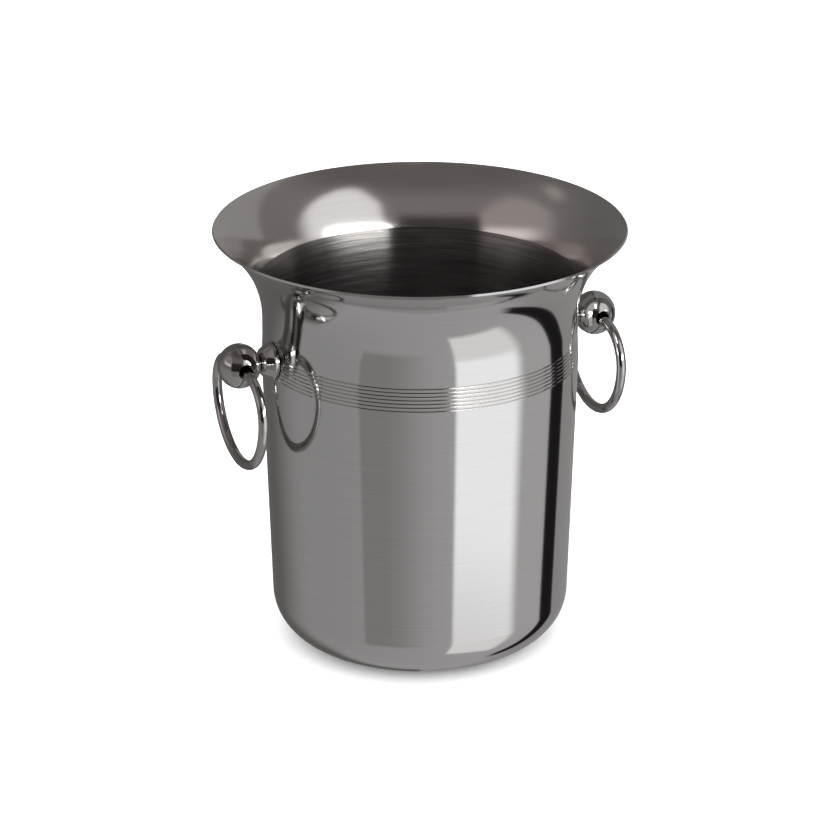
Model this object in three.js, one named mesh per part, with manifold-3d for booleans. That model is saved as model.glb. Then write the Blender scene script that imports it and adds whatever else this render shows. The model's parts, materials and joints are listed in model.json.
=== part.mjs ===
// A free-standing champagne bucket: a flared steel vessel on a flat foot, with a drop ring
// hanging from a ball stud on each side. Millimetres, +Z up, origin at the middle of the foot.
// The two handles stand on +X (right) and -X (left).
import * as THREE from 'three';
import { mergeVertices } from 'three/addons/utils/BufferGeometryUtils.js';
import Module from 'manifold-3d';

const wasm = await Module();
wasm.setup();

// ---------------------------------------------------------------- driving dimensions
const HEIGHT = 200; // foot to the top of the rim
const RIM_RADIUS = 95; // to the outside of the rim's cut edge
const SHEET = 1; // thickness of the steel the vessel is spun from
const RUN_GAP = 0.3; // space kept between pieces that touch

// vessel, outside radii and heights
const FOOT_RADIUS = 47.5; // where the flat foot turns into the base corner
const FOOT_WIDTH = 6; // of the flat ring that stands on the table
const PUNT_DEPTH = 1.2; // how far the middle of the base is pressed up
const PUNT_SLOPE = 4; // radial width of the step round the pressed middle
const CORNER_RADIUS = 22;
const BAND_LOW = 137; // bottom of the engraved band, the widest part of the body
const BAND_RADIUS = 73.3;
const BAND_HIGH = 149.5;
const NECK_RADIUS = 72.8;
const FLARE_ANGLE = THREE.MathUtils.degToRad(55.8); // of the rim, away from upright

// ball studs, their collars and fasteners
const HANDLE_HEIGHT = 145;
const BALL_REACH = 89.15; // from the vessel's axis to the ball's centre
const BALL_RADIUS = 10.4;
const BALL_FLATTENING = 0.95; // along the stud
const BALL_SEAT_SHARE = 0.9; // of the radius, from the ball's centre to the flat for the collar
const RING_HOLE_RADIUS = 3.3;
const RING_HOLE_FLARE = 1; // by which its mouths widen at the ball's surface
const COLLAR_BASE_RADIUS = 8.8; // against the wall
const COLLAR_BASE_WIDTH = 2; // of its upright edge, along the stud
const COLLAR_STEP_RADIUS = 6.4; // where the long cone ends and the short one starts
const COLLAR_NECK_RADIUS = 4.4; // against the ball
const COLLAR_NECK_WIDTH = 1.2; // of the short cone, along the stud
const SCREW_RADIUS = 2.5;
const SCREW_HEAD_RADIUS = 4.75;
const SCREW_HEAD_HEIGHT = 2.8;
const SCREW_HEAD_EDGE = 0.9; // upright edge under the dome
const SCREW_SOCKET_RADIUS = 1.75; // across the corners of the hexagon key
const SCREW_SOCKET_DEPTH = 1.6;
const SCREW_BITE = 5; // how far the thread reaches into the ball
const WASHER_RADIUS = 6.5;
const WASHER_THICKNESS = 1;
const SEAL_RADIUS = 7;
const SEAL_THICKNESS = 1.5;

// drop rings
const WIRE_RADIUS = 2.3;
const LOOP_RADIUS = 30; // of the big bow, to the wire's centre
const LOOP_DROP = 46; // from the straight bar to the lowest point, between wire centres
const LOOP_CORNER = 17.5; // bend between the bar and the bow

// facets
const VESSEL_FACETS = 64;
const ARC_STEPS = 4; // an arc of the vessel's section gets twice as many
const SMALL_FACETS = 20;
const BALL_FACETS = 28;
const WIRE_FACETS = 10;
const LOOP_STEPS = 52;

// ---------------------------------------------------------------- finishes
function finish(color, roughness, metalness) {
	return new THREE.MeshStandardMaterial({ color, roughness, metalness });
}
const POLISHED_STEEL = finish('#c9c9cb', 0.08, 1);
const CHROME = finish('#d2d2d4', 0.05, 1);
const PLAIN_STEEL = finish('#b4b4b2', 0.3, 1);
const SEAL_RUBBER = finish('#2b2b2b', 0.8, 0);

// ---------------------------------------------------------------- solids
// Keeps only the position of a geometry, joins its shared corners and drops slivers on the axis.
function closedBody(geometry) {
	const bare = new THREE.BufferGeometry();
	bare.setAttribute('position', geometry.getAttribute('position').clone());
	bare.setIndex(geometry.index ? geometry.index.clone() : null);
	const merged = mergeVertices(bare, 1e-4);
	const corners = merged.index.array;
	const kept = [];
	for (let i = 0; i < corners.length; i += 3) {
		const [a, b, c] = corners.subarray(i, i + 3);
		if (a !== b && b !== c && c !== a) kept.push(a, b, c);
	}
	merged.setIndex(kept);
	return merged;
}

function toManifold(geometry) {
	const body = closedBody(geometry);
	return new wasm.Manifold(new wasm.Mesh({
		numProp: 3,
		vertProperties: Float32Array.from(body.getAttribute('position').array),
		triVerts: Uint32Array.from(body.index.array),
	}));
}

function toGeometry(manifold) {
	const { vertProperties, triVerts } = manifold.getMesh();
	const geometry = new THREE.BufferGeometry();
	geometry.setAttribute('position', new THREE.BufferAttribute(vertProperties, 3));
	geometry.setIndex(new THREE.BufferAttribute(triVerts, 1));
	return geometry;
}

function cut(geometry, ...tools) {
	return toGeometry(tools.reduce((solid, tool) => solid.subtract(toManifold(tool)), toManifold(geometry)));
}

// A solid of revolution about +X from its outline: pairs of (distance along X, radius).
function turnedAboutX(outline, facets) {
	const profile = outline.map(([along, radius]) => new THREE.Vector2(radius, along));
	return new THREE.LatheGeometry(profile, facets).rotateZ(-Math.PI / 2);
}

function rodAlongX(from, to, radius, facets = SMALL_FACETS) {
	const length = to - from;
	return new THREE.CylinderGeometry(radius, radius, length, facets)
		.rotateZ(-Math.PI / 2)
		.translate(from + length / 2, 0, 0);
}

// ---------------------------------------------------------------- vessel
const FLARE_RADIUS = (RIM_RADIUS - NECK_RADIUS) / (1 - Math.cos(FLARE_ANGLE));
const NECK_HIGH = HEIGHT - (FLARE_RADIUS + SHEET) * Math.sin(FLARE_ANGLE); // where the flare starts
const WALL_LEAN = Math.atan((BAND_RADIUS - FOOT_RADIUS - CORNER_RADIUS) / (BAND_LOW - CORNER_RADIUS));

// Half section of the vessel's outer face, offset inwards by a depth: 0 gives the outside.
function vesselSection(depth) {
	const section = new THREE.Path();
	section.moveTo(0, PUNT_DEPTH + depth);
	section.lineTo(FOOT_RADIUS - FOOT_WIDTH - PUNT_SLOPE, PUNT_DEPTH + depth);
	section.lineTo(FOOT_RADIUS - FOOT_WIDTH, depth);
	section.lineTo(FOOT_RADIUS, depth);
	section.absarc(FOOT_RADIUS, CORNER_RADIUS, CORNER_RADIUS - depth, -Math.PI / 2, -WALL_LEAN, false);
	section.lineTo(BAND_RADIUS - depth, BAND_LOW);
	section.lineTo(NECK_RADIUS - depth, BAND_HIGH);
	section.lineTo(NECK_RADIUS - depth, NECK_HIGH);
	section.absarc(NECK_RADIUS + FLARE_RADIUS, NECK_HIGH, FLARE_RADIUS + depth,
		Math.PI, Math.PI - FLARE_ANGLE, true);
	return section;
}

function vessel() {
	const outside = vesselSection(0).getPoints(ARC_STEPS);
	const inside = vesselSection(SHEET).getPoints(ARC_STEPS).reverse();
	const shell = new THREE.LatheGeometry([...outside, ...inside], VESSEL_FACETS);
	const holes = rodAlongX(-RIM_RADIUS, RIM_RADIUS, SCREW_RADIUS + RUN_GAP)
		.translate(0, 0, HANDLE_HEIGHT);
	return cut(shell.rotateX(Math.PI / 2), holes);
}

// ---------------------------------------------------------------- handle stack
// Everything here lies along +X with the vessel's axis at X = 0 and the ball's centre at Z = 0.
const WALL_OUTSIDE = THREE.MathUtils.mapLinear(
	HANDLE_HEIGHT, BAND_LOW, BAND_HIGH, BAND_RADIUS, NECK_RADIUS);
const WALL_INSIDE = WALL_OUTSIDE - SHEET;
const BALL_SEAT = BALL_REACH - BALL_SEAT_SHARE * BALL_RADIUS; // flat that the collar bears on

// The collar's base is cut to the wall's curve, with a gap all over.
function collar() {
	const edge = WALL_OUTSIDE + COLLAR_BASE_WIDTH;
	const end = BALL_SEAT - RUN_GAP;
	const bore = SCREW_RADIUS + RUN_GAP;
	const blank = turnedAboutX([
		[WALL_INSIDE, bore], [WALL_INSIDE, COLLAR_BASE_RADIUS], [edge, COLLAR_BASE_RADIUS],
		[end - COLLAR_NECK_WIDTH, COLLAR_STEP_RADIUS], [end, COLLAR_NECK_RADIUS],
		[end, bore], [WALL_INSIDE, bore],
	], SMALL_FACETS + 4);
	const wallAndGap = new THREE.LatheGeometry([
		[0, CORNER_RADIUS], [FOOT_RADIUS + CORNER_RADIUS + RUN_GAP, CORNER_RADIUS],
		[BAND_RADIUS + RUN_GAP, BAND_LOW], [NECK_RADIUS + RUN_GAP, BAND_HIGH],
		[NECK_RADIUS + RUN_GAP, NECK_HIGH], [0, NECK_HIGH],
	].map(([radius, height]) => new THREE.Vector2(radius, height)), VESSEL_FACETS)
		.rotateX(Math.PI / 2)
		.translate(0, 0, -HANDLE_HEIGHT);
	return cut(blank, wallAndGap);
}

function ball() {
	const sphere = new THREE.SphereGeometry(BALL_RADIUS, BALL_FACETS, BALL_FACETS / 2)
		.rotateZ(-Math.PI / 2)
		.scale(BALL_FLATTENING, 1, 1)
		.translate(BALL_REACH, 0, 0);
	const seat = new THREE.BoxGeometry(BALL_RADIUS, 2 * BALL_RADIUS, 2 * BALL_RADIUS)
		.translate(BALL_SEAT - BALL_RADIUS / 2, 0, 0);
	const thread = rodAlongX(WALL_INSIDE, BALL_SEAT + SCREW_BITE + RUN_GAP, SCREW_RADIUS + RUN_GAP);
	// The hole's mouths are cones that run on past the ball, one unit out for one unit along.
	const mouth = RING_HOLE_RADIUS + RING_HOLE_FLARE;
	const mouthAt = Math.sqrt(BALL_RADIUS ** 2 - mouth ** 2);
	const straight = mouthAt - RING_HOLE_FLARE;
	const past = BALL_RADIUS + RING_HOLE_FLARE;
	const widest = RING_HOLE_RADIUS + past - straight;
	const ringHole = new THREE.LatheGeometry([
		[0, -past], [widest, -past], [RING_HOLE_RADIUS, -straight],
		[RING_HOLE_RADIUS, straight], [widest, past], [0, past],
	].map(([radius, along]) => new THREE.Vector2(radius, along)), SMALL_FACETS)
		.translate(BALL_REACH, 0, 0);
	return cut(sphere, seat, thread, ringHole);
}

function screw() {
	const headEnd = WALL_INSIDE - SEAL_THICKNESS - WASHER_THICKNESS - 4 * RUN_GAP;
	const top = headEnd - SCREW_HEAD_HEIGHT;
	const tip = BALL_SEAT + SCREW_BITE;
	// The dome is a quarter of an ellipse, from the flat round the socket to the upright edge.
	const flat = SCREW_HEAD_RADIUS / 2;
	const dome = new THREE.EllipseCurve(headEnd - SCREW_HEAD_EDGE, flat,
		SCREW_HEAD_HEIGHT - SCREW_HEAD_EDGE, SCREW_HEAD_RADIUS - flat, Math.PI, Math.PI / 2, true)
		.getPoints(ARC_STEPS)
		.map((point) => [point.x, point.y]);
	const body = turnedAboutX([
		[top, 0], ...dome, [headEnd, SCREW_HEAD_RADIUS], [headEnd, SCREW_RADIUS],
		[tip, SCREW_RADIUS], [tip, 0],
	], SMALL_FACETS);
	return cut(body, rodAlongX(WALL_INSIDE - HEIGHT, top + SCREW_SOCKET_DEPTH, SCREW_SOCKET_RADIUS, 6));
}

// A flat ring round the screw whose outer face stands a given way inside the wall.
function flatRing(setback, thickness, radius) {
	const outer = WALL_INSIDE - setback;
	const bore = SCREW_RADIUS + RUN_GAP;
	return turnedAboutX([
		[outer - thickness, bore], [outer - thickness, radius], [outer, radius], [outer, bore],
		[outer - thickness, bore],
	], SMALL_FACETS);
}

// ---------------------------------------------------------------- drop ring
// The wire's centre line in the Y-Z plane: a straight bar, two bends and one big bow. The bar
// hangs at the bottom of the ball's hole.
function ringLine() {
	const bowCentre = LOOP_RADIUS - LOOP_DROP;
	const across = Math.sqrt((LOOP_RADIUS - LOOP_CORNER) ** 2 - (bowCentre + LOOP_CORNER) ** 2);
	const meeting = Math.atan2(-LOOP_CORNER - bowCentre, across); // where bend and bow touch
	const line = new THREE.Path();
	line.moveTo(0, 0);
	line.lineTo(across, 0);
	line.absarc(across, -LOOP_CORNER, LOOP_CORNER, Math.PI / 2, meeting, true);
	line.absarc(0, bowCentre, LOOP_RADIUS, meeting, -Math.PI - meeting, true);
	line.absarc(-across, -LOOP_CORNER, LOOP_CORNER, Math.PI - meeting, Math.PI / 2, true);
	line.lineTo(0, 0);
	return line;
}

function ring() {
	const points = ringLine().getSpacedPoints(LOOP_STEPS).slice(0, -1);
	const centreLine = new THREE.CatmullRomCurve3(
		points.map((p) => new THREE.Vector3(0, p.x, p.y)), true);
	const section = new THREE.Shape();
	section.absarc(0, 0, WIRE_RADIUS, 0, 2 * Math.PI, false);
	const sweep = new THREE.ExtrudeGeometry(section, {
		steps: LOOP_STEPS, curveSegments: WIRE_FACETS / 2, extrudePath: centreLine,
	});
	// The line closes on itself, so the two end caps are left off and the tube joins up.
	const wall = sweep.groups.find((group) => group.materialIndex === 1);
	const sides = new THREE.BufferGeometry();
	const position = sweep.getAttribute('position').array;
	sides.setAttribute('position', new THREE.BufferAttribute(
		position.slice(3 * wall.start, 3 * (wall.start + wall.count)), 3));
	return closedBody(sides).translate(BALL_REACH, 0, RUN_GAP + WIRE_RADIUS - RING_HOLE_RADIUS);
}

// ---------------------------------------------------------------- assembly
function piece(name, geometry, material) {
	const mesh = new THREE.Mesh(closedBody(geometry), material);
	mesh.name = name;
	return mesh;
}

function handle(side, turn) {
	const stack = new THREE.Group();
	stack.add(
		piece(`${side}_ring`, ring(), CHROME),
		piece(`${side}_ball`, ball(), CHROME),
		piece(`${side}_collar`, collar(), CHROME),
		piece(`${side}_screw`, screw(), PLAIN_STEEL),
		piece(`${side}_washer`, flatRing(SEAL_THICKNESS + 3 * RUN_GAP, WASHER_THICKNESS, WASHER_RADIUS),
			PLAIN_STEEL),
		piece(`${side}_seal`, flatRing(2 * RUN_GAP, SEAL_THICKNESS, SEAL_RADIUS), SEAL_RUBBER),
	);
	stack.position.z = HANDLE_HEIGHT;
	stack.rotation.z = turn;
	return stack;
}

const bucket = new THREE.Group();
bucket.add(piece('bucket_shell', vessel(), POLISHED_STEEL));
bucket.add(handle('right', 0));
bucket.add(handle('left', Math.PI));

export default bucket;
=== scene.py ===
import json
import math

import bpy
from bpy.props import FloatProperty, FloatVectorProperty, IntProperty, PointerProperty
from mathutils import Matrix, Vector


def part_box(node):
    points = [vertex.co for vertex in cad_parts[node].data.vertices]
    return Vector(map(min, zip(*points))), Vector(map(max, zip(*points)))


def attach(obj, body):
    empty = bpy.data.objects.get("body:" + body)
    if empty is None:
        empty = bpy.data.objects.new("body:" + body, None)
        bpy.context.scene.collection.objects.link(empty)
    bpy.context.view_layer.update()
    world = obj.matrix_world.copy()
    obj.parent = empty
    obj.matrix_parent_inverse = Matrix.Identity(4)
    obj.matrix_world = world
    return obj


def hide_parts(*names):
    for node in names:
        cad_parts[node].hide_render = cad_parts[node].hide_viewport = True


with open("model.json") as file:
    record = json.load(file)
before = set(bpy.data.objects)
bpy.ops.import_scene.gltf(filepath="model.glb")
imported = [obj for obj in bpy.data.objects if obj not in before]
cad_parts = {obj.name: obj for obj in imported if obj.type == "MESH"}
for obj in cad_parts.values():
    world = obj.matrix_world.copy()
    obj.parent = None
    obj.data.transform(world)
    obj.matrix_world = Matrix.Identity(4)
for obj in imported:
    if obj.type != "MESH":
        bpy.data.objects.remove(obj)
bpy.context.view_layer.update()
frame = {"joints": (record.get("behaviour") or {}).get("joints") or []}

bl_info = {
    "name": "Champagne bucket",
    "version": (1, 0, 0),
    "blender": (4, 5, 0),
    "location": "View3D > Sidebar > Bucket",
    "description": "Builds a polished champagne bucket with drop rings round its packed model",
    "category": "Object",
}

# ------------------------------------------------------------------ places read from the frame
PIVOTS = {j["child"]: Vector(j["pos_m"]) for j in frame["joints"]}
SIDES = {"right": 1, "left": -1}
MM = 0.001
MERGE = 0.001 * MM  # corners closer than this are one

_, SHELL_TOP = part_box("bucket_shell")
BALL_LOW, BALL_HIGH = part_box("right_ball")
RING_LOW, RING_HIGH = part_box("right_ring")
COLLAR_LOW, COLLAR_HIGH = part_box("right_collar")
SCREW_LOW, SCREW_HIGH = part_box("right_screw")
WASHER_LOW, WASHER_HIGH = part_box("right_washer")
SEAL_LOW, SEAL_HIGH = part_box("right_seal")
PIVOT = PIVOTS["right_handle"]  # on the ring's bar
STUD_Z = (SCREW_LOW.z + SCREW_HIGH.z) / 2  # height of the screw, the collar and the ball

# ------------------------------------------------------------------ how finely curves are cut up
VESSEL_FACETS = 256
CORNER_STEPS = 20
FLARE_STEPS = 36
BALL_FACETS = 64
BALL_STEPS = 40
COLLAR_FACETS = 96
WIRE_FACETS = 32
BEND_STEPS = 14
BOW_STEPS = 96
SCREW_FACETS = 48
DOME_STEPS = 8
WASHER_FACETS = 64
HOLE_FACETS = 48
BLIND_HOLE_FACETS = 32


def linear(code):
    """An sRGB hex colour, such as "#8899aa", as the linear RGB that shaders take."""
    values = [int(code[i:i + 2], 16) / 255 for i in (1, 3, 5)]
    return [v / 12.92 if v <= 0.04045 else ((v + 0.055) / 1.055) ** 2.4 for v in values]


def length(name, description, millimetres):
    """A setting that is a length, with its default given in millimetres."""
    return FloatProperty(
        name=name, description=description, default=millimetres * MM,
        min=0, unit="LENGTH", subtype="DISTANCE")


def colour(name, description, code):
    """A setting that is a colour, with its default given as an sRGB hex value."""
    return FloatVectorProperty(
        name=name, description=description, default=linear(code),
        size=3, min=0, max=1, subtype="COLOR")


# ------------------------------------------------------------------ settings
class VesselSettings(bpy.types.PropertyGroup):
    sheet: length("Sheet", "Thickness of the spun steel", 1)
    foot_radius: length("Foot radius", "Where the flat foot turns into the base corner", 47.5)
    foot_width: length("Foot width", "Width of the flat ring that the bucket stands on", 6)
    punt_depth: length("Pressed base", "How far the middle of the base is pressed up", 1.2)
    punt_slope: length("Pressed slope", "Width of the step round the pressed middle", 4)
    corner_radius: length("Base corner", "Radius between the foot and the wall", 22)
    band_low: length("Band bottom", "Height of the widest part of the body", 137)
    band_high: length("Band top", "Height where the neck starts", 149.5)
    band_radius: length("Band radius", "Outside radius at the bottom of the band", 73.3)
    neck_radius: length("Neck radius", "Outside radius of the neck", 72.8)
    flare_angle: FloatProperty(
        name="Flare", description="Slope of the rim away from upright",
        default=math.radians(55.8), min=0, max=math.pi / 2, subtype="ANGLE", unit="ROTATION")
    grooves: IntProperty(name="Grooves", description="Engraved rings in the band", default=7, min=0)
    groove_low: length("Lowest groove", "Height of the middle of the lowest groove", 137.9)
    groove_pitch: length("Groove pitch", "From one groove to the next", 1.75)
    groove_width: length("Groove width", "Across the mouth of a groove", 0.9)
    groove_depth: length("Groove depth", "Depth of a groove", 0.086)
    groove_flat: length("Groove flat", "Width of the flat bottom of a groove", 0.09)
    brushed_high: length("Brushed up to", "Height inside where the buffed flare starts", 173.5)


class HandleSettings(bpy.types.PropertyGroup):
    ring_hole: length("Ring hole", "Radius of the cross hole in the ball", 3.3)
    hole_chamfer: length("Hole chamfer", "Width of the broken edge at the hole's mouths", 0.6)
    loop_corner: length("Ring bend", "Bend between the ring's bar and its bow", 17.5)
    collar_edge: length("Collar edge", "Width of the collar's upright edge by the wall", 2)
    collar_step: length("Collar step", "Radius where the long cone meets the short one", 6.4)
    collar_neck: length("Collar neck", "Radius of the collar against the ball", 4.4)
    collar_neck_width: length("Collar neck width", "Length of the short cone", 1.2)
    collar_soft: length("Collar softness", "How far the collar's ridges are polished down", 0.35)
    screw_radius: length("Screw", "Radius of the screw's shank", 2.5)
    screw_head: length("Screw head", "Thickness of the domed head", 2.8)
    screw_head_edge: length("Head edge", "Height of the upright edge under the dome", 0.9)
    screw_key: length("Key", "Radius of the hexagon socket across its corners", 1.75)
    screw_key_depth: length("Key depth", "Depth of the hexagon socket", 1.6)
    screw_point: length("Point", "Chamfer at the end of the screw", 0.6)
    washer_edge: length("Washer edge", "Broken edge of the flat washer", 0.12)
    seal_edge: length("Seal edge", "Rounded edge of the sealing washer", 0.3)
    clearance: length("Clearance", "Space round the screw in its holes", 0.3)


class FinishSettings(bpy.types.PropertyGroup):
    polished: colour("Polished steel", "Reflection colour of the polished outside", "#dad9d9")
    satin: colour("Brushed steel", "Reflection colour of the brushed inside", "#a3a09e")
    flare: colour("Flare steel", "Reflection colour of the buffed inside of the rim", "#d8d4d2")
    chrome: colour("Chrome", "Reflection colour of balls, collars and rings", "#bfbdbc")
    fastener: colour("Fastener steel", "Reflection colour of screws and washers", "#b9b6b2")
    rubber: colour("Rubber", "Colour of the sealing washers", "#242424")
    groove: colour("Groove", "Reflection colour of the engraved grooves", "#c4c2c0")


class StudioSettings(bpy.types.PropertyGroup):
    view_azimuth: FloatProperty(
        name="View azimuth", description="Direction of view round the bucket",
        default=math.radians(-23.1), subtype="ANGLE", unit="ROTATION")
    view_pitch: FloatProperty(
        name="View pitch", description="How far the view looks down",
        default=math.radians(21.93), subtype="ANGLE", unit="ROTATION")
    distance: length("Distance", "Level distance from the bucket's axis to the camera", 1668)
    height: length("Camera height", "Height of the camera over the floor", 776)
    lens: FloatProperty(name="Lens", description="Focal length in millimetres", default=165.4)
    floor: colour("Floor", "Colour of the floor", "#fbfbfb")


# ------------------------------------------------------------------ modelling helpers
def deselect():
    """Leaves nothing selected, so that an operator acts on the new piece alone."""
    bpy.ops.object.select_all(action="DESELECT")


def edit():
    """Enters edit mode with all of the piece selected."""
    bpy.ops.object.mode_set(mode="EDIT")
    bpy.ops.mesh.select_mode(type="VERT")
    bpy.ops.mesh.select_all(action="SELECT")


def close_up():
    """Leaves edit mode with doubled corners merged and every face pointing out."""
    bpy.ops.mesh.select_all(action="SELECT")
    bpy.ops.mesh.remove_doubles(threshold=MERGE)
    bpy.ops.mesh.normals_make_consistent(inside=False)
    bpy.ops.object.mode_set(mode="OBJECT")


def arc(centre, radius, start, stop, steps):
    """Points (radius, height) along an arc in the half section, angles in radians."""
    return [
        (centre[0] + radius * math.cos(start + (stop - start) * i / steps),
         centre[1] + radius * math.sin(start + (stop - start) * i / steps))
        for i in range(steps + 1)]


def turned(outline, facets, solid=True):
    """A turned piece about Z: a circle drawn out along its outline of (radius, height).
    A solid one starts and ends in a flat disc, and the other closes on itself round a hole."""
    deselect()
    radius, height = outline[0]
    bpy.ops.mesh.primitive_circle_add(
        vertices=facets, radius=radius, fill_type="NGON" if solid else "NOTHING",
        location=(0, 0, height))
    edit()
    for (r0, z0), (r1, z1) in zip(outline, outline[1:]):
        bpy.ops.mesh.extrude_region_move(TRANSFORM_OT_translate={"value": (0, 0, z1 - z0)})
        if r1 != r0:
            bpy.ops.transform.resize(value=(r1 / r0, r1 / r0, 1), center_override=(0, 0, z1))
    close_up()
    return bpy.context.object


def settle(piece):
    """Moves a piece's place into its mesh, so that its object sits at the origin."""
    deselect()
    piece.select_set(True)
    bpy.context.view_layer.objects.active = piece
    bpy.ops.object.transform_apply(location=True, rotation=True, scale=True)


def lay_along_x(piece):
    """Turns a piece that was drawn up Z so that it points along +X at the stud's height."""
    settle(piece)
    piece.rotation_euler = (0, math.pi / 2, 0)
    piece.location = (0, 0, STUD_Z)
    settle(piece)


def cut(piece, tool):
    """Takes the tool's shape out of the piece and throws the tool away."""
    deselect()
    piece.select_set(True)
    bpy.context.view_layer.objects.active = piece
    boolean = piece.modifiers.new("cut", "BOOLEAN")
    boolean.operation = "DIFFERENCE"
    boolean.solver = "EXACT"
    boolean.object = tool
    bpy.ops.object.modifier_apply(modifier=boolean.name)
    bpy.data.objects.remove(tool)


def drill(piece, x, depth, radius, facets):
    """Drills along X at the stud's height, as far to either side of x as the depth says."""
    deselect()
    bpy.ops.mesh.primitive_cylinder_add(
        vertices=facets, radius=radius, depth=2 * depth,
        location=(x, 0, STUD_Z), rotation=(0, math.pi / 2, 0))
    cut(piece, bpy.context.object)


def smooth(piece, degrees=30):
    """Shades a piece smooth, apart from edges that turn by more than the angle."""
    deselect()
    piece.select_set(True)
    bpy.context.view_layer.objects.active = piece
    bpy.ops.object.shade_smooth_by_angle(angle=math.radians(degrees))


def hand_over(piece, name, materials, body, node):
    """Names a finished piece, gives it its finishes and ties it to its part of the frame."""
    piece.name = name
    piece.data.name = name
    for material in materials:
        piece.data.materials.append(material)
    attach(piece, body)
    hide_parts(node)
    return piece


def both_sides(piece, name, material, body, node):
    """The same piece on both handles: the left one is the right one turned half a turn round Z."""
    smooth(piece)
    for side, sign in SIDES.items():
        copy = piece.copy()
        copy.data = piece.data.copy()
        bpy.context.collection.objects.link(copy)
        if sign < 0:
            copy.rotation_euler = (0, 0, math.pi)
            settle(copy)
        on_body = f"{side}_handle" if body == "handle" else body
        hand_over(copy, f"{side}_{name}", [material], on_body, f"{side}_{node}")
    bpy.data.objects.remove(piece)


# ------------------------------------------------------------------ materials
def add(tree, kind, settings=None, **links):
    """Adds a node, sets its own settings and its inputs' values, and links inputs to outputs.
    A link is named after the input, with _ for a space, or by its number as in_0."""
    node = tree.nodes.new(kind)
    for name, value in (settings or {}).items():
        if hasattr(node, name):
            setattr(node, name, value)
        else:
            node.inputs[name].default_value = value
    for name, source in links.items():
        key = int(name[3:]) if name.startswith("in_") else name.replace("_", " ")
        if isinstance(source, bpy.types.NodeSocket):
            tree.links.new(source, node.inputs[key])
        else:
            node.inputs[key].default_value = source
    return node


def new_material(name):
    """An empty material, its node tree and the place of a point on the piece, in metres."""
    material = bpy.data.materials.new(name)
    material.use_nodes = True
    tree = material.node_tree
    tree.nodes.clear()
    return material, tree, add(tree, "ShaderNodeTexCoord").outputs["Object"]


def shared(make, *values):
    """The material that a function makes, made once and then used again."""
    return bpy.data.materials.get(make.__name__) or make(*values)


def turning_lines(tree, place, spacing, along):
    """Noise drawn out into rings round Z: spacing is from line to line up the section, and
    along is how far one line stays alike on its way round. Both are in metres."""
    flat = add(tree, "ShaderNodeVectorMath", {"operation": "MULTIPLY"}, in_0=place, in_1=(1, 1, 0))
    reach = add(tree, "ShaderNodeVectorMath", {"operation": "LENGTH"}, in_0=flat.outputs[0])
    parts = add(tree, "ShaderNodeSeparateXYZ", Vector=place)
    up = add(tree, "ShaderNodeMath", {"operation": "ADD"},
             in_0=parts.outputs["Z"], in_1=reach.outputs["Value"])
    line = add(tree, "ShaderNodeMath", {"operation": "MULTIPLY"},
               in_0=up.outputs[0], in_1=1 / spacing)
    around = add(tree, "ShaderNodeVectorMath", {"operation": "SCALE", "Scale": 1 / along},
                 in_0=flat.outputs[0])
    split = add(tree, "ShaderNodeSeparateXYZ", Vector=around.outputs[0])
    where = add(tree, "ShaderNodeCombineXYZ",
                X=split.outputs["X"], Y=split.outputs["Y"], Z=line.outputs[0])
    noise = add(tree, "ShaderNodeTexNoise", {"Scale": 1.0, "Detail": 3.0, "Roughness": 0.6},
                Vector=where.outputs[0])
    return noise.outputs["Fac"]


def buffed_stainless(name, tint, haze, wheel):
    # 18/10 stainless steel, spun and buffed. Faint rings from the buffing wheel, drawn coarser
    # than the real grit so that they show, streak its grey, and slow waves in the sheet break up
    # the edges of what it mirrors. The haze says how far it was taken: to a mirror outside, less
    # far inside the flared rim.
    material, tree, place = new_material(name)
    lines = turning_lines(tree, place, 0.6 * MM, 35 * MM)
    streaks = add(tree, "ShaderNodeMapRange", {"From Min": 0.3, "From Max": 0.6}, Value=lines)
    steel = add(tree, "ShaderNodeMix", {"data_type": "RGBA"}, Factor=streaks.outputs["Result"],
                in_6=(*[0.95 * c for c in tint], 1), in_7=(*tint, 1))
    patches = add(tree, "ShaderNodeTexNoise", {"Scale": 1 / (45 * MM)}, Vector=place)
    clouds = add(tree, "ShaderNodeMapRange", {"To Min": haze[0], "To Max": haze[1]},
                 Value=patches.outputs["Fac"])
    rough = add(tree, "ShaderNodeMath", {"operation": "MULTIPLY_ADD"},
                in_0=lines, in_1=0.03, in_2=clouds.outputs[0])
    sheet = add(tree, "ShaderNodeTexNoise", {"Scale": 1 / (60 * MM), "Detail": 1.0}, Vector=place)
    waves = add(tree, "ShaderNodeBump", {"Strength": 0.25, "Distance": 0.11 * MM},
                Height=sheet.outputs["Fac"])
    grain = add(tree, "ShaderNodeBump", {"Strength": wheel, "Distance": 0.004 * MM},
                Height=lines, Normal=waves.outputs[0])
    shader = add(tree, "ShaderNodeBsdfPrincipled", {"Metallic": 1.0},
                 Base_Color=steel.outputs[2], Roughness=rough.outputs[0], Normal=grain.outputs[0])
    add(tree, "ShaderNodeOutputMaterial", Surface=shader.outputs["BSDF"])
    return material


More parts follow.
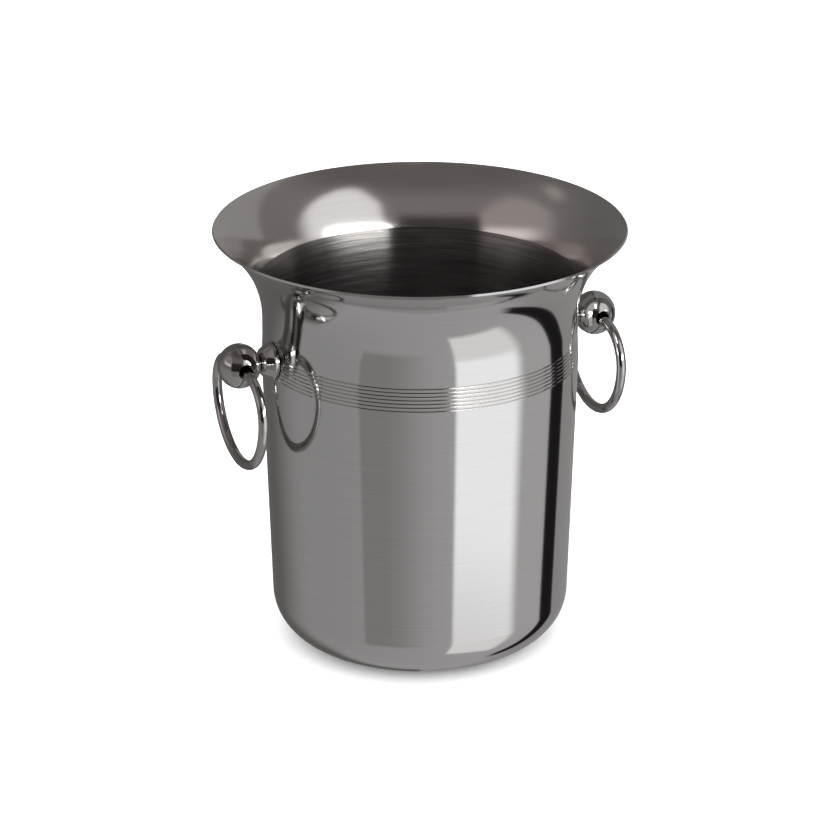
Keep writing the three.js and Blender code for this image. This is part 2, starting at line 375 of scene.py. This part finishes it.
def brushed_stainless(tint):
    # The same steel left as an abrasive pad leaves it: rings of fine scratches, which draw every
    # highlight out up and down the wall and show as thin broken lines, some dark, some bright.
    material, tree, place = new_material("brushed_stainless")
    fine = turning_lines(tree, place, 0.45 * MM, 30 * MM)
    broad = turning_lines(tree, place, 1.1 * MM, 60 * MM)
    both = add(tree, "ShaderNodeMath", {"operation": "MULTIPLY_ADD"},
               in_0=broad, in_1=0.5, in_2=fine)
    shade = add(tree, "ShaderNodeMapRange", {"From Min": 0.5, "From Max": 1.0},
                Value=both.outputs[0])
    steel = add(tree, "ShaderNodeMix", {"data_type": "RGBA"}, Factor=shade.outputs["Result"],
                in_6=(*[0.3 * c for c in tint], 1), in_7=(*tint, 1))
    rough = add(tree, "ShaderNodeMapRange", {"To Min": 0.23, "To Max": 0.28}, Value=broad)
    grain = add(tree, "ShaderNodeBump", {"Strength": 0.2, "Distance": 0.02 * MM},
                Height=both.outputs[0])
    around = add(tree, "ShaderNodeTangent", {"direction_type": "RADIAL", "axis": "Z"})
    shader = add(
        tree, "ShaderNodeBsdfPrincipled",
        {"Metallic": 1.0, "Anisotropic": 1.0, "Anisotropic Rotation": 0.25},
        Base_Color=steel.outputs[2], Roughness=rough.outputs[0], Normal=grain.outputs[0],
        Tangent=around.outputs["Tangent"])
    add(tree, "ShaderNodeOutputMaterial", Surface=shader.outputs["BSDF"])
    return material


def engraved_steel(tint):
    # The cut faces of the engraved rings: bright, a little rougher than the buffed skin, and
    # turned up or down, so a ring draws a line darker or brighter than the skin beside it.
    material, tree, place = new_material("engraved_steel")
    lines = turning_lines(tree, place, 0.1 * MM, 12 * MM)
    rough = add(tree, "ShaderNodeMapRange", {"To Min": 0.05, "To Max": 0.14}, Value=lines)
    grain = add(tree, "ShaderNodeBump", {"Strength": 0.3, "Distance": 0.01 * MM}, Height=lines)
    shader = add(tree, "ShaderNodeBsdfPrincipled", {"Base Color": (*tint, 1), "Metallic": 1.0},
                 Roughness=rough.outputs[0], Normal=grain.outputs[0])
    add(tree, "ShaderNodeOutputMaterial", Surface=shader.outputs["BSDF"])
    return material


def chrome_plate(tint):
    # Bright chromium plate on turned brass and bent wire: a hard mirror with a trace of haze
    # and the shallow dimples of hand polishing.
    material, tree, place = new_material("chrome_plate")
    haze = add(tree, "ShaderNodeTexNoise", {"Scale": 1 / (5 * MM)}, Vector=place)
    rough = add(tree, "ShaderNodeMapRange", {"To Min": 0.03, "To Max": 0.09},
                Value=haze.outputs["Fac"])
    dimples = add(tree, "ShaderNodeTexNoise", {"Scale": 1 / (3 * MM)}, Vector=place)
    grain = add(tree, "ShaderNodeBump", {"Strength": 0.2, "Distance": 0.02 * MM},
                Height=dimples.outputs["Fac"])
    shader = add(tree, "ShaderNodeBsdfPrincipled", {"Base Color": (*tint, 1), "Metallic": 1.0},
                 Roughness=rough.outputs[0], Normal=grain.outputs[0])
    add(tree, "ShaderNodeOutputMaterial", Surface=shader.outputs["BSDF"])
    return material


def bright_fastener_steel(tint):
    # Cold headed stainless screws and stamped washers: plain bright, a little uneven.
    material, tree, place = new_material("bright_fastener_steel")
    uneven = add(tree, "ShaderNodeTexNoise", {"Scale": 1 / (0.8 * MM), "Detail": 4.0}, Vector=place)
    rough = add(tree, "ShaderNodeMapRange", {"To Min": 0.2, "To Max": 0.42},
                Value=uneven.outputs["Fac"])
    grain = add(tree, "ShaderNodeBump", {"Strength": 0.25, "Distance": 0.02 * MM},
                Height=uneven.outputs["Fac"])
    shader = add(tree, "ShaderNodeBsdfPrincipled", {"Base Color": (*tint, 1), "Metallic": 1.0},
                 Roughness=rough.outputs[0], Normal=grain.outputs[0])
    add(tree, "ShaderNodeOutputMaterial", Surface=shader.outputs["BSDF"])
    return material


def moulded_rubber(tint):
    # Moulded nitrile rubber: near black and matt, with a fine grain from the mould.
    material, tree, place = new_material("moulded_rubber")
    grit = add(tree, "ShaderNodeTexNoise", {"Scale": 1 / (0.6 * MM), "Detail": 4.0}, Vector=place)
    rough = add(tree, "ShaderNodeMapRange", {"To Min": 0.6, "To Max": 0.85},
                Value=grit.outputs["Fac"])
    grain = add(tree, "ShaderNodeBump", {"Strength": 0.3, "Distance": 0.03 * MM},
                Height=grit.outputs["Fac"])
    shader = add(
        tree, "ShaderNodeBsdfPrincipled",
        {"Base Color": (*tint, 1), "Metallic": 0.0, "IOR": 1.52},
        Roughness=rough.outputs[0], Normal=grain.outputs[0])
    add(tree, "ShaderNodeOutputMaterial", Surface=shader.outputs["BSDF"])
    return material


# ------------------------------------------------------------------ vessel
def wall_radius(s, z):
    """Outside radius of the engraved band at a height."""
    share = (z - s.band_low) / (s.band_high - s.band_low)
    return s.band_radius + min(max(share, 0), 1) * (s.neck_radius - s.band_radius)


def vessel_outline(s):
    """The whole half section as (radius, height): out along the underside, up the outside with
    its grooves, over the cut lip and down the inside to the floor."""
    height, rim = SHELL_TOP.z, SHELL_TOP.y
    corner = (s.foot_radius, s.corner_radius)
    lean = math.atan(
        (s.band_radius - s.foot_radius - s.corner_radius) / (s.band_low - s.corner_radius))
    flare = (rim - s.neck_radius) / (1 - math.cos(s.flare_angle))
    neck_high = height - (flare + s.sheet) * math.sin(s.flare_angle)
    hub = (s.neck_radius + flare, neck_high)

    def skin(depth):
        foot_in = s.foot_radius - s.foot_width
        return (
            [(foot_in - s.punt_slope, s.punt_depth + depth), (foot_in, depth)],
            arc(corner, s.corner_radius - depth, -math.pi / 2, -lean, CORNER_STEPS),
            [(s.band_radius - depth, s.band_low), (s.neck_radius - depth, s.band_high)],
            arc(hub, flare + depth, math.pi, math.pi - s.flare_angle, FLARE_STEPS))

    under, bend, (band_low, band_high), bell = skin(0)
    floor, inner_bend, inner_band, inner_bell = skin(s.sheet)
    cuts = []
    for i in range(s.grooves):
        middle = s.groove_low + i * s.groove_pitch
        for side, width, depth in (
                (-1, s.groove_width, 0), (-1, s.groove_flat, s.groove_depth),
                (1, s.groove_flat, s.groove_depth), (1, s.groove_width, 0)):
            z = middle + side * width / 2
            cuts.append((wall_radius(s, z) - depth, z))
    body = [band_low] if cuts[0][1] > s.band_low else []
    return (under + bend + body + cuts + [band_high] + bell
            + inner_bell[::-1] + inner_band[::-1] + inner_bend[::-1] + floor[::-1])


class BUCKET_OT_vessel(bpy.types.Operator):
    """Spin the vessel: base, wall with engraved rings, neck, flared rim and inside"""
    bl_idname = "bucket.vessel"
    bl_label = "Vessel"

    def execute(self, context):
        s = context.scene.bucket_vessel
        finish = context.scene.bucket_finish
        handle = context.scene.bucket_handle
        vessel = turned(vessel_outline(s), VESSEL_FACETS)
        settle(vessel)
        drill(vessel, 0, SHELL_TOP.y, handle.screw_radius + handle.clearance, HOLE_FACETS)
        smooth(vessel, 9)  # the edges of the grooves stay crisp
        hand_over(
            vessel, "vessel",
            [buffed_stainless("mirror_buffed_stainless", finish.polished, (0.045, 0.075), 0.6),
             buffed_stainless("soft_buffed_stainless", finish.flare, (0.1, 0.15), 0.5),
             brushed_stainless(finish.satin), engraved_steel(finish.groove)],
            "bucket", "bucket_shell")
        for face in vessel.data.polygons:
            face.material_index = self.finish_at(s, face)
        return {"FINISHED"}

    def finish_at(self, s, face):
        """Which finish a face has: 0 mirror outside, 1 buffed flare, 2 brushed body, 3 groove."""
        z = face.center.z
        outward = Vector((face.center.x, face.center.y, 0)).normalized()
        faces_axis = face.normal.dot(outward) < -0.05 and face.normal.z > -0.5
        faces_up = face.normal.z > 0.9
        if faces_axis or faces_up:
            return 1 if z > s.brushed_high else 2
        nearest = round((z - s.groove_low) / s.groove_pitch)
        off_groove = abs(z - s.groove_low - nearest * s.groove_pitch)
        return 3 if 0 <= nearest < s.grooves and off_groove < s.groove_width / 2 else 0


# ------------------------------------------------------------------ handles
class BUCKET_OT_balls(bpy.types.Operator):
    """Turn the ball studs, with the cross hole for the ring and the blind hole for the screw"""
    bl_idname = "bucket.balls"
    bl_label = "Ball studs"

    def execute(self, context):
        s = context.scene.bucket_handle
        finish = context.scene.bucket_finish
        radius = (BALL_HIGH.z - BALL_LOW.z) / 2
        mouth = s.ring_hole + s.hole_chamfer
        start = math.acos(mouth / radius)
        deep = radius * math.sin(start) - s.hole_chamfer
        outline = (
            [(s.ring_hole, -deep)] + arc((0, 0), radius, -start, start, BALL_STEPS)
            + [(s.ring_hole, deep), (s.ring_hole, -deep)])
        ball = turned(outline, BALL_FACETS, solid=False)
        settle(ball)
        ball.rotation_euler = (math.pi / 2, 0, 0)
        settle(ball)
        ball.scale = ((BALL_HIGH.x - PIVOT.x) / radius, 1, 1)
        ball.location = (PIVOT.x, 0, STUD_Z)
        settle(ball)
        self.seat(ball, s)
        both_sides(ball, "ball_stud", shared(chrome_plate, finish.chrome),
                   "bucket", "ball")
        return {"FINISHED"}

    def seat(self, ball, s):
        """Faces the ball off for the collar and drills the screw's hole from that face."""
        edit()
        bpy.ops.mesh.bisect(
            plane_co=(BALL_LOW.x, 0, 0), plane_no=(-1, 0, 0), threshold=MERGE,
            use_fill=True, clear_outer=True)
        bpy.ops.object.mode_set(mode="OBJECT")
        bite = SCREW_HIGH.x - BALL_LOW.x + s.clearance
        drill(ball, BALL_LOW.x, bite, s.screw_radius + s.clearance, BLIND_HOLE_FACETS)


class BUCKET_OT_collars(bpy.types.Operator):
    """Turn the collars between ball and wall, with a base cut to the wall's curve"""
    bl_idname = "bucket.collars"
    bl_label = "Stud collars"

    def execute(self, context):
        s = context.scene.bucket_handle
        vessel = context.scene.bucket_vessel
        finish = context.scene.bucket_finish
        gap = s.clearance
        wall = wall_radius(vessel, STUD_Z)
        base, end = COLLAR_HIGH.y, COLLAR_HIGH.x
        bore = s.screw_radius + gap
        edge = wall + s.collar_edge
        step = end - s.collar_neck_width
        soft = s.collar_soft
        slope = math.atan2(base - s.collar_step, step - edge)
        outline = (
            [(bore, wall - vessel.sheet), (base, wall - vessel.sheet), (base, edge - 2 * soft)]
            + arc((base - 2 * soft, edge - 2 * soft), 2 * soft, 0, math.pi / 2 - slope, 6)
            + [(s.collar_step + soft * math.sin(slope), step - soft * math.cos(slope)),
               (s.collar_step - soft * 0.5, step + soft * 0.5),
               (s.collar_neck + 0.1 * MM, end - 0.1 * MM), (s.collar_neck - 0.1 * MM, end),
               (bore, end), (bore, wall - vessel.sheet)])
        collar = turned(outline, COLLAR_FACETS, solid=False)
        lay_along_x(collar)
        cut(collar, self.wall_and_gap(vessel, gap))
        both_sides(collar, "stud_collar", shared(chrome_plate, finish.chrome),
                   "bucket", "collar")
        return {"FINISHED"}

    def wall_and_gap(self, s, gap):
        """The solid inside the vessel's wall round the studs, grown by the gap."""
        low, high = s.band_low - s.corner_radius, s.band_high + s.corner_radius
        return turned(
            [(s.band_radius + gap, low), (s.band_radius + gap, s.band_low),
             (s.neck_radius + gap, s.band_high), (s.neck_radius + gap, high)], VESSEL_FACETS)


class BUCKET_OT_rings(bpy.types.Operator):
    """Bend the drop rings: a straight bar through the ball, two bends and one big bow"""
    bl_idname = "bucket.rings"
    bl_label = "Drop rings"

    def execute(self, context):
        s = context.scene.bucket_handle
        finish = context.scene.bucket_finish
        wire = RING_HIGH.z - PIVOT.z
        bow = RING_HIGH.y - wire
        drop = PIVOT.z - RING_LOW.z - wire
        bow_rise = bow - drop  # height of the bow's centre over the bar
        across = math.sqrt((bow - s.loop_corner) ** 2 - (bow_rise + s.loop_corner) ** 2)
        meeting = math.atan2(-s.loop_corner - bow_rise, across)
        bend = math.pi / 2 - meeting
        x, z = PIVOT.x, PIVOT.z
        deselect()
        bpy.ops.mesh.primitive_circle_add(
            vertices=WIRE_FACETS, radius=wire, location=(x, 0, z),
            rotation=(math.pi / 2, 0, 0))
        edit()
        bpy.ops.mesh.extrude_region_move(TRANSFORM_OT_translate={"value": (0, across, 0)})
        self.spin(BEND_STEPS, bend, (x, across, z - s.loop_corner))
        self.spin(BOW_STEPS, math.pi + 2 * meeting, (x, 0, z + bow_rise))
        self.spin(BEND_STEPS, bend, (x, -across, z - s.loop_corner))
        bpy.ops.mesh.extrude_region_move(TRANSFORM_OT_translate={"value": (0, across, 0)})
        close_up()
        ring = bpy.context.object
        settle(ring)
        both_sides(ring, "drop_ring", shared(chrome_plate, finish.chrome),
                   "handle", "ring")
        return {"FINISHED"}

    def spin(self, steps, angle, centre):
        bpy.ops.mesh.spin(
            steps=steps, angle=angle, center=centre, axis=(1, 0, 0), use_auto_merge=False)


class BUCKET_OT_fasteners(bpy.types.Operator):
    """Make the screws with their flat washers and sealing washers inside the vessel"""
    bl_idname = "bucket.fasteners"
    bl_label = "Screws and washers"

    def execute(self, context):
        s = context.scene.bucket_handle
        finish = context.scene.bucket_finish
        steel = shared(bright_fastener_steel, finish.fastener)
        both_sides(self.screw(s), "stud_screw", steel, "bucket", "screw")
        both_sides(self.disc(s, WASHER_LOW, WASHER_HIGH, s.washer_edge), "flat_washer", steel,
                   "bucket", "washer")
        both_sides(self.disc(s, SEAL_LOW, SEAL_HIGH, s.seal_edge), "sealing_washer",
                   shared(moulded_rubber, finish.rubber), "bucket", "seal")
        return {"FINISHED"}

    def screw(self, s):
        """A domed head with a hexagon socket, a plain neck and a chamfered point."""
        head = SCREW_HIGH.y
        top, point = SCREW_LOW.x, SCREW_HIGH.x
        seat = top + s.screw_head
        flat = 0.5 * head
        rise = s.screw_head - s.screw_head_edge
        turns = [i * math.pi / 2 / DOME_STEPS for i in range(DOME_STEPS + 1)]
        dome = [
            (flat + (head - flat) * math.sin(turn), top + rise * (1 - math.cos(turn)))
            for turn in turns]
        broken = 0.15 * MM
        outline = dome + [
            (head, seat - broken), (head - broken, seat), (s.screw_radius, seat),
            (s.screw_radius, point - s.screw_point), (s.screw_radius - s.screw_point, point)]
        screw = turned(outline, SCREW_FACETS)
        lay_along_x(screw)
        drill(screw, top, s.screw_key_depth, s.screw_key, 6)
        return screw

    def disc(self, s, low, high, broken):
        """A flat ring with its outer edges broken."""
        bore = s.screw_radius + s.clearance
        outline = [
            (bore, low.x), (high.y - broken, low.x), (high.y, low.x + broken),
            (high.y, high.x - broken), (high.y - broken, high.x), (bore, high.x), (bore, low.x)]
        disc = turned(outline, WASHER_FACETS, solid=False)
        lay_along_x(disc)
        return disc


# ------------------------------------------------------------------ stage
def smooth_band(tree, value, upper, low, high, soft_low, soft_high):
    """1 where the value is over low and the upper value under high, with soft edges."""
    rise = add(tree, "ShaderNodeMapRange", {
        "interpolation_type": "SMOOTHSTEP", "From Min": low - soft_low, "From Max": low + soft_low,
    }, Value=value)
    fall = add(tree, "ShaderNodeMapRange", {
        "interpolation_type": "SMOOTHSTEP", "From Min": high - soft_high,
        "From Max": high + soft_high, "To Min": 1.0, "To Max": 0.0,
    }, Value=upper)
    return add(tree, "ShaderNodeMath", {"operation": "MULTIPLY"},
               in_0=rise.outputs[0], in_1=fall.outputs[0]).outputs[0]


# What the steel mirrors: the cards, flags and lights of a small studio. Each card is placed by its
# bearing round the bucket, in degrees to the right of the camera, and by its elevation, each as
# low, high and the softness of those two edges. Then come the arch of its top (how far it bends
# down to its sides), the slope of its top to the right and its lean (bearing gained per degree of
# height), its colour and its brightness. A later card stands in front of an earlier one.
CARDS = (
    ("dim ceiling", (-400, 400, 1, 1), (56, 200, 12, 1), (0, 0, 0), "#f6e8e6", 0.125),
    ("room behind, left", (-190, -120, 1, 26), (-60, 90, 8, 1), (0, 0, 0), "#8b8886", 0.50),
    ("room behind, right", (128, 190, 2, 1), (-58, 90, 8, 1), (0, 0, 0), "#a9a7a6", 0.76),
    ("left reflector", (-103, -45, 9, 3), (8, 47, 8, 6), (14, 0, 0), "#fff6f4", 0.33),
    ("left reflector, middle", (-88, -47, 14, 3), (9, 19, 3, 4), (0, 0, 0), "#fff6f4", 0.9),
    ("small reflector, left", (-120, -108, 4, 4), (40, 50, 4, 4), (0, 0, 0), "#fff6f2", 0.34),
    ("dark behind the camera", (-44, 17, 1.2, 4), (-12, 30, 5, 6), (0, 0, 0), "#2c2827", 1.0),
    ("camera side panel", (-44.5, -8, 1.2, 22), (-37, -12, 3, 6), (0, 0, 0), "#898887", 1.0),
    ("strip light, foot", (26, 79, 1.8, 6), (-56, -29, 3, 4), (0, 0, 0), "#fffefd", 0.87),
    ("strip light", (26, 77, 1.8, 6), (-30, 14, 4, 8), (0, 0, 0), "#ffffff", 1.14),
    ("strip light, head", (20, 84, 3, 10), (4, 57, 8, 4), (20, -6, 0.25), "#ffffff", 0.95),
    ("strip light, hot middle", (23, 62, 3, 14), (8, 19, 3, 4), (0, 0, 0), "#ffffff", 13.0),
    ("black flag", (109.5, 127.5, 1.5, 1.5), (-63, 4, 3, 6), (0, 0, 0), "#1e1c1c", 1.0),
)


class BUCKET_OT_stage(bpy.types.Operator):
    """Set up the pale floor, the soft studio light, what the steel mirrors, and the camera"""
    bl_idname = "bucket.stage"
    bl_label = "Stage"

    def execute(self, context):
        s = context.scene.bucket_studio
        self.floor(s)
        self.world(context, s)
        self.camera(context, s)
        context.scene.view_settings.view_transform = "Standard"
        return {"FINISHED"}

    def floor(self, s):
        """A big matt sheet. It's hidden from the mirror finishes, as the cards stand for it."""
        deselect()
        bpy.ops.mesh.primitive_plane_add(size=12)
        floor = bpy.context.object
        floor.name = "floor"
        material, tree, place = new_material("matt_white_paper")
        fibre = add(tree, "ShaderNodeTexNoise", {"Scale": 1 / (0.5 * MM)}, Vector=place)
        rough = add(tree, "ShaderNodeMapRange", {"To Min": 0.9, "To Max": 1.0},
                    Value=fibre.outputs["Fac"])
        shader = add(
            tree, "ShaderNodeBsdfPrincipled",
            {"Base Color": (*s.floor, 1), "Specular IOR Level": 0.0}, Roughness=rough.outputs[0])
        add(tree, "ShaderNodeOutputMaterial", Surface=shader.outputs["BSDF"])
        floor.data.materials.append(material)
        floor.visible_glossy = False

    def world(self, context, s):
        """White all round for the floor and the eye, and the cards for the mirror finishes."""
        world = bpy.data.worlds.new("studio")
        context.scene.world = world
        world.use_nodes = True
        tree = world.node_tree
        tree.nodes.clear()
        facing = add(tree, "ShaderNodeTexCoord").outputs["Generated"]
        front = (math.sin(s.view_azimuth), -math.cos(s.view_azimuth), 0)
        right = (math.cos(s.view_azimuth), math.sin(s.view_azimuth), 0)
        ahead = add(tree, "ShaderNodeVectorMath", {"operation": "DOT_PRODUCT"},
                    in_0=facing, in_1=front).outputs["Value"]
        aside = add(tree, "ShaderNodeVectorMath", {"operation": "DOT_PRODUCT"},
                    in_0=facing, in_1=right).outputs["Value"]
        turn = add(tree, "ShaderNodeMath", {"operation": "ARCTAN2"}, in_0=aside, in_1=ahead)
        bearing = add(tree, "ShaderNodeMath", {"operation": "DEGREES"}, in_0=turn.outputs[0]).outputs[0]
        height = add(tree, "ShaderNodeSeparateXYZ", Vector=facing).outputs["Z"]
        climb = add(tree, "ShaderNodeMath", {"operation": "ARCSINE"}, in_0=height)
        elevation = add(tree, "ShaderNodeMath", {"operation": "DEGREES"},
                        in_0=climb.outputs[0]).outputs[0]

        # The floor and the room: brighter to the right and below, dimmer overhead.
        below = smooth_band(tree, elevation, elevation, -120, -6, 1, 10)
        rightwards = add(tree, "ShaderNodeMapRange", {
            "From Min": -1.0, "From Max": 1.0, "To Min": 0.31, "To Max": 0.46}, Value=aside)
        floor = add(tree, "ShaderNodeVectorMath", {"operation": "SCALE"},
                    in_0=(1.0, 0.99, 0.98), Scale=rightwards.outputs[0])
        picture = add(tree, "ShaderNodeMix", {"data_type": "VECTOR"},
                      Factor=below, in_4=(0.19, 0.176, 0.174), in_5=floor.outputs[0]).outputs[1]
        for _, across, up, (arch, slope, lean), code, level in CARDS:
            middle, half = (across[0] + across[1]) / 2, (across[1] - across[0]) / 2
            upright = add(tree, "ShaderNodeMath", {"operation": "MULTIPLY_ADD"},
                          in_0=elevation, in_1=-lean, in_2=bearing).outputs[0]
            off = add(tree, "ShaderNodeMath", {"operation": "MULTIPLY_ADD"},
                      in_0=upright, in_1=1 / half, in_2=-middle / half).outputs[0]
            bend = add(tree, "ShaderNodeMath", {"operation": "MULTIPLY_ADD"},
                       in_0=off, in_1=arch, in_2=-slope).outputs[0]
            top = add(tree, "ShaderNodeMath", {"operation": "MULTIPLY_ADD"},
                      in_0=off, in_1=bend, in_2=elevation).outputs[0]
            mask = add(tree, "ShaderNodeMath", {"operation": "MULTIPLY"},
                       in_0=smooth_band(tree, upright, upright, *across),
                       in_1=smooth_band(tree, elevation, top, *up))
            shade = [c * level for c in linear(code)]
            picture = add(tree, "ShaderNodeMix", {"data_type": "VECTOR"},
                          Factor=mask.outputs[0], in_4=picture, in_5=shade).outputs[1]

        rays = add(tree, "ShaderNodeLightPath")
        mirrored = add(tree, "ShaderNodeBackground", Color=picture)
        white = add(tree, "ShaderNodeBackground", {"Strength": 1.9}, Color=(1, 1, 1, 1))
        mix = add(tree, "ShaderNodeMixShader", Fac=rays.outputs["Is Glossy Ray"],
                  in_1=white.outputs[0], in_2=mirrored.outputs[0])
        add(tree, "ShaderNodeOutputWorld", Surface=mix.outputs[0])

    def camera(self, context, s):
        camera = bpy.data.objects.new("camera", bpy.data.cameras.new("camera"))
        context.collection.objects.link(camera)
        camera.data.lens = s.lens
        camera.data.sensor_width = 36
        camera.data.clip_end = 50
        camera.location = (
            math.sin(s.view_azimuth) * s.distance, -math.cos(s.view_azimuth) * s.distance, s.height)
        camera.rotation_euler = (math.pi / 2 - s.view_pitch, 0, s.view_azimuth)
        context.scene.camera = camera


# ------------------------------------------------------------------ panel and registration
class BUCKET_PT_panel(bpy.types.Panel):
    bl_idname = "BUCKET_PT_panel"
    bl_label = "Champagne bucket"
    bl_space_type = "VIEW_3D"
    bl_region_type = "UI"
    bl_category = "Bucket"

    def draw(self, context):
        for operator in OPERATORS:
            self.layout.operator(operator.bl_idname)


OPERATORS = (
    BUCKET_OT_stage, BUCKET_OT_vessel, BUCKET_OT_balls, BUCKET_OT_collars, BUCKET_OT_rings,
    BUCKET_OT_fasteners)
SETTINGS = {
    "bucket_vessel": VesselSettings, "bucket_handle": HandleSettings,
    "bucket_finish": FinishSettings, "bucket_studio": StudioSettings}


def register():
    for cls in (*SETTINGS.values(), *OPERATORS, BUCKET_PT_panel):
        bpy.utils.register_class(cls)
    for name, group in SETTINGS.items():
        setattr(bpy.types.Scene, name, PointerProperty(type=group))


def unregister():
    for name in SETTINGS:
        delattr(bpy.types.Scene, name)
    for cls in reversed((*SETTINGS.values(), *OPERATORS, BUCKET_PT_panel)):
        bpy.utils.unregister_class(cls)


def main():
    register()
    bpy.ops.bucket.stage()
    bpy.ops.bucket.vessel()
    bpy.ops.bucket.balls()
    bpy.ops.bucket.collars()
    bpy.ops.bucket.rings()
    bpy.ops.bucket.fasteners()


if __name__ == "__main__":
    main()
